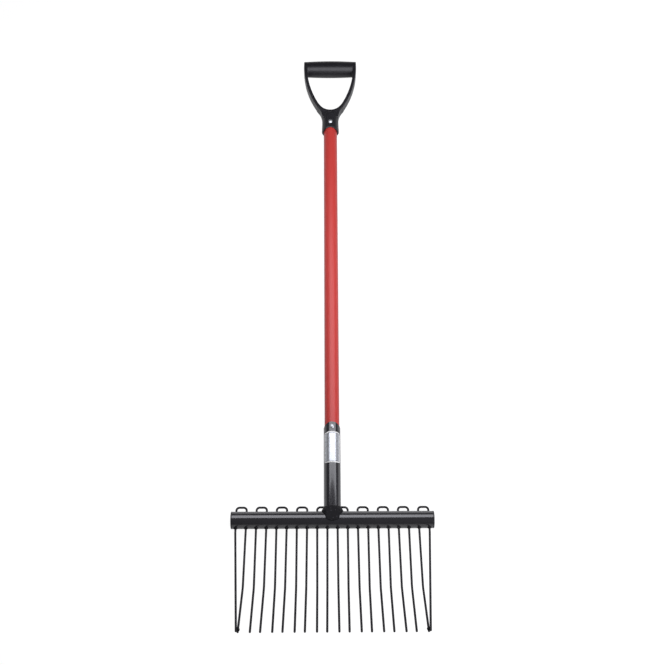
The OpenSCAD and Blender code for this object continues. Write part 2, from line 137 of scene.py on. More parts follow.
@dataclass(frozen=True)
class Finish:
    """A surface finish: a base colour that varies a little, gloss, and a fine relief.

    Attributes:
        name: Name of the material.
        colour: Main colour.
        shade: Colour that the patches drift to.
        roughness: Middle of the roughness.
        roughness_spread: How far the patches take the roughness either way.
        patch_mm: Size of a patch.
        relief_mm: Size of a bump of the relief.
        relief_depth_mm: Height of a bump.
        ior: Index of refraction.
        metallic: Share of bare metal.
        coat: Weight of a clear coat.
        coat_roughness: Roughness of the clear coat.
        stretch: Scale of the patches along each axis, below one where they are drawn out.
        patch_detail: Octaves of the patches.
        patch_roughness: Weight of the finer octaves.
        patch_reach: Noise values at which the roughness reaches its ends.
        relief_detail: Octaves of the relief.
    """

    name: str
    colour: str
    shade: str
    roughness: float
    roughness_spread: float
    patch_mm: float
    relief_mm: float
    relief_depth_mm: float
    ior: float = 1.5
    metallic: float = 0.0
    coat: float = 0.0
    coat_roughness: float = 0.1
    stretch: tuple[float, float, float] = (1.0, 1.0, 1.0)
    patch_detail: float = 4.0
    patch_roughness: float = 0.6
    patch_reach: tuple[float, float] = (0.3, 0.7)
    relief_detail: float = 2.0

    def material(self) -> bpy.types.Material:
        """Returns the finish's material, made once."""
        found = bpy.data.materials.get(self.name)
        return found if found else self._make()

    def _make(self) -> bpy.types.Material:
        """Builds the node tree.

        Returns:
            The new material.
        """
        material = bpy.data.materials.new(self.name)
        tree = emptied(material)
        place = add_node(tree, "ShaderNodeTexCoord").outputs["Object"]
        run = add_node(
            tree, "ShaderNodeMapping", {"Vector": place, "Scale": self.stretch}, vector_type="POINT"
        ).outputs["Vector"]
        patch = add_node(
            tree,
            "ShaderNodeTexNoise",
            {
                "Vector": run,
                "Scale": 1 / (self.patch_mm * MM),
                "Detail": self.patch_detail,
                "Roughness": self.patch_roughness,
            },
        ).outputs["Fac"]
        colour = add_node(
            tree,
            "ShaderNodeMix",
            {MIX_SHARE: patch, MIX_FIRST: linear(self.colour), MIX_SECOND: linear(self.shade)},
            data_type="RGBA",
        ).outputs[MIX_RESULT]
        gloss = add_node(
            tree,
            "ShaderNodeMapRange",
            {
                "Value": patch,
                "From Min": self.patch_reach[0],
                "From Max": self.patch_reach[1],
                "To Min": self.roughness - self.roughness_spread,
                "To Max": self.roughness + self.roughness_spread,
            },
        ).outputs["Result"]
        relief = add_node(
            tree,
            "ShaderNodeTexNoise",
            {"Vector": place, "Scale": 1 / (self.relief_mm * MM), "Detail": self.relief_detail},
        ).outputs["Fac"]
        bump = add_node(
            tree,
            "ShaderNodeBump",
            {"Height": relief, "Strength": 1.0, "Distance": self.relief_depth_mm * MM},
        ).outputs["Normal"]
        colour = self._marks(tree, place, colour)
        shader = add_node(
            tree,
            "ShaderNodeBsdfPrincipled",
            {
                "Base Color": colour,
                "Roughness": gloss,
                "Normal": bump,
                "Metallic": self.metallic,
                "IOR": self.ior,
                "Coat Weight": self.coat,
                "Coat Roughness": self.coat_roughness,
            },
        )
        add_node(tree, "ShaderNodeOutputMaterial", {"Surface": shader.outputs["BSDF"]})
        return material

    def _marks(
        self, tree: bpy.types.NodeTree, place: bpy.types.NodeSocket, colour: bpy.types.NodeSocket
    ) -> bpy.types.NodeSocket:
        """Returns the colour with the finish's own marks; a plain finish has none."""
        return colour


@dataclass(frozen=True)
class SpeckledFinish(Finish):
    """A finish with small pale specks, such as dust nibs in paint; on the weld they are partly dust and
    partly painted glints.

    Attributes:
        speck_dust_and_glint: Colour of the specks.
        speck_mm: Usual distance between specks.
        speck_share: Radius of a speck as a share of that distance.
        speck_drift_mm: Size of the areas that have specks or have none.
        speck_drift_detail: Octaves of these areas' outlines.
        speck_drift_reach: Noise values between which the specks fade in.
    """

    # Speck colour: dust nibs on the enamel, and on the weld partly painted glints
    speck_dust_and_glint: str = "#55545a"
    speck_mm: float = 4.0
    speck_share: float = 0.08
    speck_drift_mm: float = 9.0
    speck_drift_detail: float = 2.0
    speck_drift_reach: tuple[float, float] = (0.48, 0.62)

    def _marks(
        self, tree: bpy.types.NodeTree, place: bpy.types.NodeSocket, colour: bpy.types.NodeSocket
    ) -> bpy.types.NodeSocket:
        """Lays specks over the colour.

        Args:
            tree: Tree of the material.
            place: Object coordinates.
            colour: Colour so far.

        Returns:
            The colour with specks.
        """
        spots = add_node(
            tree,
            "ShaderNodeTexVoronoi",
            {"Vector": place, "Scale": 1 / (self.speck_mm * MM), "Randomness": 1.0},
        ).outputs["Distance"]
        dots = add_node(
            tree,
            "ShaderNodeMapRange",
            {"Value": spots, "From Min": self.speck_share, "From Max": 0.0},
        ).outputs["Result"]
        drift = add_node(
            tree,
            "ShaderNodeTexNoise",
            {
                "Vector": place,
                "Scale": 1 / (self.speck_drift_mm * MM),
                "Detail": self.speck_drift_detail,
            },
        ).outputs["Fac"]
        fade_from, fade_to = self.speck_drift_reach
        here = add_node(
            tree, "ShaderNodeMapRange", {"Value": drift, "From Min": fade_from, "From Max": fade_to}
        ).outputs["Result"]
        share = add_node(
            tree, "ShaderNodeMath", {0: dots, 1: here}, operation="MULTIPLY"
        ).outputs["Value"]
        return add_node(
            tree,
            "ShaderNodeMix",
            {MIX_SHARE: share, MIX_FIRST: colour, MIX_SECOND: linear(self.speck_dust_and_glint)},
            data_type="RGBA",
        ).outputs[MIX_RESULT]


# Black polypropylene, injection moulded in a spark-eroded tool: a soft broad gloss. The grain is drawn at
# 0.7 mm, coarser than the real one, so that it shows
MOULDED_PP = Finish(
    name="moulded_polypropylene",
    colour="#161519",
    shade="#1c1b20",
    roughness=0.36,
    roughness_spread=0.04,
    patch_mm=18.0,
    relief_mm=0.7,
    relief_depth_mm=0.015,
    ior=1.49,
)
# Red polymer coat drawn over a hollow tube: even colour, satin gloss and faint streaks along the draw
RED_COAT = Finish(
    name="red_polymer_coat",
    colour="#b1342f",
    shade="#b73a35",
    roughness=0.34,
    roughness_spread=0.03,
    patch_mm=9.0,
    relief_mm=1.6,
    relief_depth_mm=0.012,
    ior=1.45,
    stretch=(1.0, 0.06, 1.0),
)
# Black stoving enamel sprayed on steel tube: deep gloss, slight orange peel and a few dust nibs
BLACK_ENAMEL = SpeckledFinish(
    name="black_stoving_enamel",
    colour="#212024",
    shade="#27262a",
    roughness=0.18,
    roughness_spread=0.03,
    patch_mm=22.0,
    relief_mm=2.4,
    relief_depth_mm=0.012,
    ior=1.55,
    coat=0.8,
    coat_roughness=0.1,
)
# The same enamel, thin and nearly matt on drawn wire: a dull sheen, for which the index is set low
ENAMELLED_WIRE = Finish(
    name="enamelled_wire",
    colour="#17161a",
    shade="#1d1c20",
    roughness=0.5,
    roughness_spread=0.06,
    patch_mm=14.0,
    relief_mm=1.2,
    relief_depth_mm=0.01,
    ior=1.35,
)
# Weld bead under the enamel: matt and rough, with pale specks that are partly dust and partly painted
# glints of the bead's ripples. The index is set low because the bead throws back little light
ENAMELLED_WELD = SpeckledFinish(
    name="enamelled_weld",
    colour="#121114",
    shade="#19181b",
    roughness=0.6,
    roughness_spread=0.08,
    patch_mm=3.0,
    relief_mm=0.9,
    relief_depth_mm=0.08,
    ior=1.25,
    # Pale specks: partly dust, partly painted glints on the bead's ripples
    speck_dust_and_glint="#7d7b80",
    speck_mm=4.2,
    speck_share=0.17,
)
# Zinc-plated steel rivet, cold headed: bright, with a dull bloom where the tool struck it
PLATED_STEEL = Finish(
    name="zinc_plated_steel",
    colour="#cbcdd1",
    shade="#b9bbc0",
    roughness=0.42,
    roughness_spread=0.06,
    patch_mm=2.0,
    relief_mm=0.5,
    relief_depth_mm=0.01,
    metallic=1.0,
)
# Turned beech dowel: pale, with open grain along its length
TURNED_BEECH = Finish(
    name="turned_beech",
    colour="#c8a878",
    shade="#b08c5c",
    roughness=0.6,
    roughness_spread=0.05,
    patch_mm=1.5,
    relief_mm=0.8,
    relief_depth_mm=0.03,
    stretch=(1.0, 0.05, 1.0),
)


@dataclass(frozen=True)
class FoilLabel:
    """Rolled foil with a white printed border and a thin frame line: bright metal, otherwise bare.

    Attributes:
        name: Name of the material.
        foil: Colour of the foil.
        border: Colour of the border.
        line: Colour of the frame line.
        border_mm: Width of the border.
        line_mm: Width of the frame line.
        width_mm: Width of the label, along the tube's curve.
        height_mm: Height of the label.
        metallic: Share of bare metal in the foil.
        rolled_mm: Size of the foil's waves.
        rolled_detail: Octaves of the waves.
        rolled_depth_mm: Height of the waves.
        roughness: Least and most roughness.
    """

    name: str = "bare_foil_label"
    foil: str = "#bfc2c7"
    border: str = "#f1f1ef"
    line: str = "#4a4a50"
    border_mm: float = 2.2
    line_mm: float = 0.8
    width_mm: float = 36.0
    height_mm: float = 61.0
    metallic: float = 0.68
    rolled_mm: float = 6.0
    rolled_detail: float = 3.0
    rolled_depth_mm: float = 0.015
    roughness: tuple[float, float] = (0.24, 0.32)

    def material(self) -> bpy.types.Material:
        """Builds the material on the label's own UV map, which is in metres from its middle.

        Returns:
            The new material.
        """
        material = bpy.data.materials.new(self.name)
        tree = emptied(material)
        uv = add_node(tree, "ShaderNodeUVMap", uv_map=LABEL_UV).outputs["UV"]
        parts = add_node(tree, "ShaderNodeSeparateXYZ", {"Vector": uv}).outputs
        sides = []
        for axis, size in (("X", self.width_mm), ("Y", self.height_mm)):
            away = add_node(
                tree, "ShaderNodeMath", {0: parts[axis]}, operation="ABSOLUTE"
            ).outputs["Value"]
            inset = add_node(
                tree, "ShaderNodeMath", {0: size / 2 * MM, 1: away}, operation="SUBTRACT"
            ).outputs["Value"]
            sides.append(inset)
        edge = add_node(
            tree, "ShaderNodeMath", dict(enumerate(sides)), operation="MINIMUM"
        ).outputs["Value"]
        on_border, on_line = (
            add_node(
                tree, "ShaderNodeMath", {0: edge, 1: reach * MM}, operation="LESS_THAN"
            ).outputs["Value"]
            for reach in (self.border_mm, self.border_mm + self.line_mm)
        )
        framed = add_node(
            tree,
            "ShaderNodeMix",
            {MIX_SHARE: on_line, MIX_FIRST: linear(self.foil), MIX_SECOND: linear(self.line)},
            data_type="RGBA",
        ).outputs[MIX_RESULT]
        colour = add_node(
            tree,
            "ShaderNodeMix",
            {MIX_SHARE: on_border, MIX_FIRST: framed, MIX_SECOND: linear(self.border)},
            data_type="RGBA",
        ).outputs[MIX_RESULT]
        bare = add_node(
            tree, "ShaderNodeMath", {0: 1.0, 1: on_line}, operation="SUBTRACT"
        ).outputs["Value"]
        metal = add_node(
            tree, "ShaderNodeMath", {0: bare, 1: self.metallic}, operation="MULTIPLY"
        ).outputs["Value"]
        place = add_node(tree, "ShaderNodeTexCoord").outputs["Object"]
        rolled = add_node(
            tree,
            "ShaderNodeTexNoise",
            {"Vector": place, "Scale": 1 / (self.rolled_mm * MM), "Detail": self.rolled_detail},
        ).outputs["Fac"]
        least, most = self.roughness
        gloss = add_node(
            tree, "ShaderNodeMapRange", {"Value": rolled, "To Min": least, "To Max": most}
        ).outputs["Result"]
        bump = add_node(
            tree,
            "ShaderNodeBump",
            {"Height": rolled, "Strength": 1.0, "Distance": self.rolled_depth_mm * MM},
        ).outputs["Normal"]
        shader = add_node(
            tree,
            "ShaderNodeBsdfPrincipled",
            {"Base Color": colour, "Metallic": metal, "Roughness": gloss, "Normal": bump},
        )
        add_node(tree, "ShaderNodeOutputMaterial", {"Surface": shader.outputs["BSDF"]})
        return material


def dress(obj: bpy.types.Object, material: bpy.types.Material) -> None:
    """Gives every face of an object one material.

    Args:
        obj: Piece, CAD node or floor.
        material: Its finish.
    """
    obj.data.materials.clear()
    obj.data.materials.append(material)
    LOG.info("%s: dressed in %s", obj.name, material.name)


def bake(obj: bpy.types.Object) -> None:
    """Turns an object's modifiers into a plain mesh and removes them.

    Args:
        obj: Object whose mesh is exchanged.
    """
    graph = bpy.context.evaluated_depsgraph_get()
    mesh = bpy.data.meshes.new_from_object(
        obj.evaluated_get(graph), preserve_all_data_layers=True, depsgraph=graph
    )
    obj.modifiers.clear()
    obj.data = mesh
    mesh.name = obj.name


def new_object(name: str, mesh: bpy.types.Mesh) -> bpy.types.Object:
    """Puts a mesh into the scene as an object at the origin.

    Args:
        name: Name of the object.
        mesh: Its mesh, with its place in it.

    Returns:
        The new object.
    """
    obj = bpy.data.objects.new(name, mesh)
    bpy.context.scene.collection.objects.link(obj)
    return obj


def settle(obj: bpy.types.Object, slot: Slot, *nodes: str) -> None:
    """Hands a finished piece to the frame.

    Args:
        obj: The piece, in place.
        slot: Record slot of the piece; not used.
        *nodes: CAD nodes that it stands for.
    """
    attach(obj, BODY)
    if nodes:
        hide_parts(*nodes)
    LOG.info("%s: %d faces, stands for %s", obj.name, len(obj.data.polygons), nodes or "itself")


def softened(name: str, source: bpy.types.Object, voxel_mm: float, passes: int) -> bpy.types.Object:
    """Copies a CAD node's mesh and rounds its edges, as a mould or a weld pool does.

    Args:
        name: Name of the new piece.
        source: CAD node's object.
        voxel_mm: Grain of the new mesh.
        passes: Number of smoothing passes.

    Returns:
        The new piece, baked.
    """
    obj = new_object(name, source.data.copy())
    weld = obj.modifiers.new("join_corners", "WELD")
    weld.merge_threshold = CORNER_JOIN_MM * MM
    remesh = obj.modifiers.new("even_grain", "REMESH")
    remesh.mode = "VOXEL"
    remesh.voxel_size = voxel_mm * MM
    remesh.use_smooth_shade = True
    smooth = obj.modifiers.new("round_edges", "SMOOTH")
    smooth.factor = SMOOTHING
    smooth.iterations = passes
    bake(obj)
    return obj


class PathTree:
    """Geometry Nodes that sweep a round section along a centre line, thinned where the line says so."""

    NAME = "wire_along_line"
    TAPER = "taper"
    # Points at a tip that are nearer than this are one point, so that the dome closes
    TIP_JOIN_MM = 0.004
    INPUTS = {
        "Line": "NodeSocketGeometry",
        "Wire radius": "NodeSocketFloat",
        "Sides": "NodeSocketInt",
        "Finish": "NodeSocketMaterial",
    }

    def __init__(self) -> None:
        """Builds the tree once, with named inputs."""
        tree = bpy.data.node_groups.new(self.NAME, "GeometryNodeTree")
        for name, kind in self.INPUTS.items():
            tree.interface.new_socket(name, in_out="INPUT", socket_type=kind)
        tree.interface.new_socket("Wire", in_out="OUTPUT", socket_type="NodeSocketGeometry")
        given = add_node(tree, "NodeGroupInput").outputs
        thin = add_node(
            tree, "GeometryNodeInputNamedAttribute", {"Name": self.TAPER}, data_type="FLOAT"
        ).outputs["Attribute"]
        line = add_node(tree, "GeometryNodeMeshToCurve", {"Mesh": given["Line"]}).outputs["Curve"]
        ring = add_node(
            tree,
            "GeometryNodeCurvePrimitiveCircle",
            {"Resolution": given["Sides"], "Radius": given["Wire radius"]},
        ).outputs["Curve"]
        swept = add_node(
            tree, "GeometryNodeCurveToMesh", {"Curve": line, "Profile Curve": ring, "Scale": thin}
        ).outputs["Mesh"]
        closed = add_node(
            tree,
            "GeometryNodeMergeByDistance",
            {"Geometry": swept, "Distance": self.TIP_JOIN_MM * MM},
        ).outputs["Geometry"]
        smooth = add_node(tree, "GeometryNodeSetShadeSmooth", {"Geometry": closed}).outputs["Geometry"]
        real = add_node(tree, "GeometryNodeRealizeInstances", {"Geometry": smooth}).outputs["Geometry"]
        dressed = add_node(
            tree, "GeometryNodeSetMaterial", {"Geometry": real, "Material": given["Finish"]}
        ).outputs["Geometry"]
        add_node(tree, "NodeGroupOutput", {"Wire": dressed})
        self.tree = tree

    def sweep(
        self,
        name: str,
        points: Sequence[Vector],
        tapers: Sequence[float],
        radius: float,
        sides: int,
        material: bpy.types.Material,
    ) -> bpy.types.Object:
        """Makes one wire.

        Args:
            name: Name of the piece.
            points: Centre line, in metres.
            tapers: Share of the full radius at each point.
            radius: Wire radius in metres.
            sides: Number of sides of the section.
            material: Finish.

        Returns:
            The baked wire.
        """
        mesh = bpy.data.meshes.new(name)
        mesh.from_pydata([tuple(p) for p in points], [(i, i + 1) for i in range(len(points) - 1)], [])
        layer = mesh.attributes.new(self.TAPER, "FLOAT", "POINT")
        layer.data.foreach_set("value", list(tapers))
        obj = new_object(name, mesh)
        modifier = obj.modifiers.new("wire", "NODES")
        modifier.node_group = self.tree
        values = {"Wire radius": radius, "Sides": sides, "Finish": material}
        for item in self.tree.interface.items_tree:
            if item.in_out == "INPUT" and item.name in values:
                modifier[item.identifier] = values[item.name]
        bake(obj)
        return obj


@dataclass
class DHandle:
    """Moulded D-handle and its rivet.

    Attributes:
        nodes: CAD nodes' objects by name.
        voxel_mm: Grain of the rounded mesh.
        passes: Smoothing passes that round the edges.
    """

    nodes: dict[str, bpy.types.Object]
    voxel_mm: float = 0.75
    passes: int = 20

    def build(self) -> None:
        """Rounds the handle's edges as the mould leaves them, and dresses handle and rivet."""
        handle = softened("moulded_d_handle", self.nodes["d_handle"], self.voxel_mm, self.passes)
        dress(handle, MOULDED_PP.material())
        settle(handle, Slot.PLASTIC, "d_handle")
        dress(self.nodes["handle_rivet"], PLATED_STEEL.material())


@dataclass
class Shaft:
    """Red coated tube with a dowel in each end.

    Attributes:
        nodes: CAD nodes' objects by name.
    """

    nodes: dict[str, bpy.types.Object]

    def build(self) -> None:
        """Dresses the tube and its dowels."""
        dress(self.nodes["shaft"], RED_COAT.material())
        for name in ("upper_core_plug", "lower_core_plug"):
            dress(self.nodes[name], TURNED_BEECH.material())


@dataclass
class Socket:
    """Steel socket with its rivet, weld and blank foil label.

    Attributes:
        nodes: CAD nodes' objects by name.
        weld_voxel_mm: Grain of the weld's rounded mesh.
        weld_passes: Smoothing passes that round the weld.
        label: Finish and size of the label.
        label_low_mm: Distance from the head tube's axis to the label's lower edge.
        label_corner_mm: Radius of the label's corners.
        label_arch_mm: How far the upper edge drops towards its corners.
        label_lift_mm: Height of the label's face above the socket.
        label_foil_mm: Thickness of the foil.
        columns: Faces across the label.
        rows: Faces up the label.
    """

    nodes: dict[str, bpy.types.Object]
    weld_voxel_mm: float = 0.6
    weld_passes: int = 26
    label: FoilLabel = field(default_factory=FoilLabel)
    label_low_mm: float = 106.0
    label_corner_mm: float = 2.0
    label_arch_mm: float = 4.0
    label_lift_mm: float = 0.1
    label_foil_mm: float = 0.07
    columns: int = 48
    rows: int = 24

    def build(self) -> None:
        """Dresses the socket, softens its weld and sticks the label on."""
        dress(self.nodes["socket"], BLACK_ENAMEL.material())
        dress(self.nodes["socket_rivet"], PLATED_STEEL.material())
        weld = softened(
            "socket_weld_bead", self.nodes["socket_weld"], self.weld_voxel_mm, self.weld_passes
        )
        dress(weld, ENAMELLED_WELD.material())
        settle(weld, Slot.PAINT, "socket_weld")
        self._stick_label()

    def _stick_label(self) -> None:
        """Sticks the label onto the front of the socket."""
        label = new_object("socket_label", self._label_mesh())
        thick = label.modifiers.new("foil", "SOLIDIFY")
        thick.thickness = self.label_foil_mm * MM
        thick.offset = -1.0
        bake(label)
        dress(label, self.label.material())
        settle(label, Slot.RIVET)

    def _label_mesh(self) -> bpy.types.Mesh:
        """Bends a sheet with round corners round the socket, with its flat size as its UV map.

        Returns:
            The label's outer face.
        """
        low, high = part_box("socket")
        radius = (high.x - low.x) / 2
        axis_z = (low.z + high.z) / 2
        bar_low, bar_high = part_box("head_tube")
        bar_y = (bar_low.y + bar_high.y) / 2
        width, height = self.label.width_mm * MM, self.label.height_mm * MM
        corner = self.label_corner_mm * MM
        middle_y = bar_y + self.label_low_mm * MM + height / 2
        grid = bmesh.new()
        uv_layer = grid.loops.layers.uv.new(LABEL_UV)
        flat: dict[bmesh.types.BMVert, tuple[float, float]] = {}
        lift = radius + self.label_lift_mm * MM
        lines = []
        for i in range(self.columns + 1):
            u = width * (i / self.columns - 0.5)
            inset = max(0.0, abs(u) - (width / 2 - corner))
            cut = corner - math.sqrt(max(0.0, corner**2 - inset**2))
            low_v = cut - height / 2
            high_v = height / 2 - cut - self.label_arch_mm * MM * (2 * u / width) ** 2
            turn = u / radius
            line = []
            for j in range(self.rows + 1):
                v = low_v + (high_v - low_v) * j / self.rows
                vert = grid.verts.new(
                    (lift * math.sin(turn), middle_y + v, axis_z + lift * math.cos(turn))
                )
                flat[vert] = (u, height * (j / self.rows - 0.5))
                line.append(vert)
            lines.append(line)
        for left, right in zip(lines, lines[1:]):
            for j in range(self.rows):
                face = grid.faces.new((left[j], right[j], right[j + 1], left[j + 1]))
                face.smooth = True
                for loop in face.loops:
                    loop[uv_layer].uv = flat[loop.vert]
        mesh = bpy.data.meshes.new("socket_label")
        grid.to_mesh(mesh)
        grid.free()
        return mesh


@dataclass
class TineHead:
    """Head tube, end caps, wire hairpins and their welds.

    The hairpins' sizes have the names and values of the part's source, in millimetres and degrees.

    Attributes:
        nodes: CAD nodes' objects by name.
        pairs: Number of hairpins.
        pair_pitch: Distance between hairpins.
        leg_gap: Distance between a hairpin's legs at the crown.
        tip_gap: The same at the tips.
        wire_d: Diameter of the wire.
        bar_r: Radius of the head tube.
        crown_rise: How far the crowns stand out behind the head tube.
        crown_r: Bend radius of the crowns.
        shank_l: Length of a leg from the head tube's axis to its bend.
        shank_angle: Slope of that run.
        point_l: Length of a leg past its bend.
        point_angle: Slope of that run.
        bend_r: Radius of the bend.
        brace_run: Straight run of a brace leg past the head tube.
        brace_bend_r: Bend radius of a brace leg.
        brace_cross: How far a brace leg's tip stands aside from the tip that it is welded to.
        brace_past: How far it reaches past that tip.
        weld_gap: Gap between the two wires there.
        wire_sides: Sides of a wire's section.
        arc_step: Most degrees of a bend between two points.
        arc_least: Fewest steps of a bend.
        dome_steps: Steps of a rounded tip.
        tine_weld_voxel_mm: Grain of the tine welds' rounded mesh.
        tip_weld_voxel_mm: Grain of the tip welds' rounded mesh.
        weld_passes: Smoothing passes that round these welds.
    """

    nodes: dict[str, bpy.types.Object]
    pairs: int = 10
    pair_pitch: float = 37.7
    leg_gap: float = 19.2
    tip_gap: float = 17.2
    wire_d: float = 4.0
    bar_r: float = 16.0
    crown_rise: float = 10.0
    crown_r: float = 6.0
    shank_l: float = 132.0
    shank_angle: float = 14.6
    point_l: float = 115.0
    point_angle: float = 42.7
    bend_r: float = 20.0
    brace_run: float = 6.0
    brace_bend_r: float = 12.0
    brace_cross: float = 2.7
    brace_past: float = 2.5
    weld_gap: float = 0.15
    wire_sides: int = 20
    arc_step: float = 6.0
    arc_least: int = 3
    dome_steps: int = 6
    tine_weld_voxel_mm: float = 0.4
    tip_weld_voxel_mm: float = 0.3
    weld_passes: int = 4

    def build(self) -> None:
        """Dresses the tube and caps, and makes the hairpins and welds."""
        dress(self.nodes["head_tube"], BLACK_ENAMEL.material())
        for name in ("end_cap_left", "end_cap_right"):
            dress(self.nodes[name], MOULDED_PP.material())
        wires = PathTree()
        for i in range(1, self.pairs + 1):
            line, tapers = self._hairpin(i)
            wire = wires.sweep(
                f"wire_hairpin_{i:02d}",
                line,
                tapers,
                self.wire_d / 2 * MM,
                self.wire_sides,
                ENAMELLED_WIRE.material(),
            )
            settle(wire, Slot.PAINT, f"tine_pair_{i:02d}")
        for name, node, voxel in (
            ("tine_weld_beads", "tine_welds", self.tine_weld_voxel_mm),
            ("tip_weld_beads", "tip_welds", self.tip_weld_voxel_mm),
        ):
            beads = softened(name, self.nodes[node], voxel, self.weld_passes)
            dress(beads, ENAMELLED_WELD.material())
            settle(beads, Slot.PAINT, node)

    def _axis(self) -> Vector:
        """Returns the middle of the head tube's axis."""
        low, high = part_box("head_tube")
        return (low + high) / 2

    def _along(self, angle: float, length: float) -> Vector:
        """Returns a run of a leg at a slope to the shaft's line, in millimetres."""
        turn = math.radians(angle)
        return Vector((0.0, -math.cos(turn) * length, math.sin(turn) * length))

    def _hairpin(self, number: int) -> tuple[list[Vector], list[float]]:
        """Works out a hairpin's centre line.

        Args:
            number: Place of the hairpin, from the left.

        Returns:
            Points in metres, and the share of the wire's radius at each.
        """
        crown = self._along(self.shank_angle, -(self.bar_r + self.crown_rise))
        bend = self._along(self.shank_angle, self.shank_l)
        tip = bend + self._along(self.point_angle, self.point_l)
        run = self.bar_r + self.crown_rise + self.shank_l
        bend_gap = self.leg_gap + (self.tip_gap - self.leg_gap) * run / (run + self.point_l)
        right = [
            crown + Vector((self.leg_gap / 2, 0, 0)),
            bend + Vector((bend_gap / 2, 0, 0)),
            tip + Vector((self.tip_gap / 2, 0, 0)),
        ]
        left = [Vector((-p.x, p.y, p.z)) for p in right]
        left_bend_r = self.bend_r
        if number in (1, self.pairs):
            slope = math.radians(self.point_angle)
            front = Vector((0.0, math.sin(slope), math.cos(slope)))
            bend_run = self.brace_bend_r * math.sin(math.radians(self.shank_angle))
            kink = self._along(self.shank_angle, self.bar_r + self.brace_run + bend_run)
            past = self._along(self.point_angle, self.brace_past)
            end = tip + front * (self.wire_d + self.weld_gap) + past
            left = [
                left[0],
                kink + Vector((-self.leg_gap / 2, 0, 0)),
                end + Vector((self.tip_gap / 2 - self.brace_cross, 0, 0)),
            ]
            left_bend_r = self.brace_bend_r
        corners = left[::-1] + right
        radii = [left_bend_r, self.crown_r, self.crown_r, self.bend_r]
        line, tapers = self._domed(self._rounded(corners, radii))
        side = -1 if number > self.pairs / 2 else 1
        shift = (number - (self.pairs + 1) / 2) * self.pair_pitch
        axis = self._axis()
        placed = [axis + Vector((shift + side * p.x, p.y, p.z)) * MM for p in line]
        return placed, tapers

    def _rounded(self, corners: Sequence[Vector], radii: Sequence[float]) -> list[Vector]:
        """Puts an arc of its own radius at every inner corner of a line.

        Args:
            corners: Ends and corners of the line.
            radii: Radius for each inner corner.

        Returns:
            The rounded line's points.
        """
        line = [corners[0]]
        for before, corner, after, radius in zip(corners, corners[1:], corners[2:], radii):
            come = (corner - before).normalized()
            go = (after - corner).normalized()
            turn = come.angle(go)
            start = corner - come * radius * math.tan(turn / 2)
            inward = (go - come * come.dot(go)).normalized()
            middle = start + inward * radius
            steps = max(self.arc_least, math.ceil(math.degrees(turn) / self.arc_step))
            for k in range(steps + 1):
                part = turn * k / steps
                line.append(middle - inward * radius * math.cos(part) + come * radius * math.sin(part))
        return line + [corners[-1]]

    def _domed(self, line: list[Vector]) -> tuple[list[Vector], list[float]]:
        """Lengthens both ends of a line by a half-round tip.

        Args:
            line: Centre line in millimetres.

        Returns:
            The longer line, and the share of the wire's radius at each point.
        """
        radius = self.wire_d / 2
        angles = [math.pi / 2 * k / self.dome_steps for k in range(1, self.dome_steps + 1)]
        head = (line[0] - line[1]).normalized()
        tail = (line[-1] - line[-2]).normalized()
        first = [line[0] + head * radius * math.sin(a) for a in reversed(angles)]
        final = [line[-1] + tail * radius * math.sin(a) for a in angles]
        thin = [max(0.0, math.cos(a)) for a in angles]
        return first + line + final, thin[::-1] + [1.0] * len(line) + thin


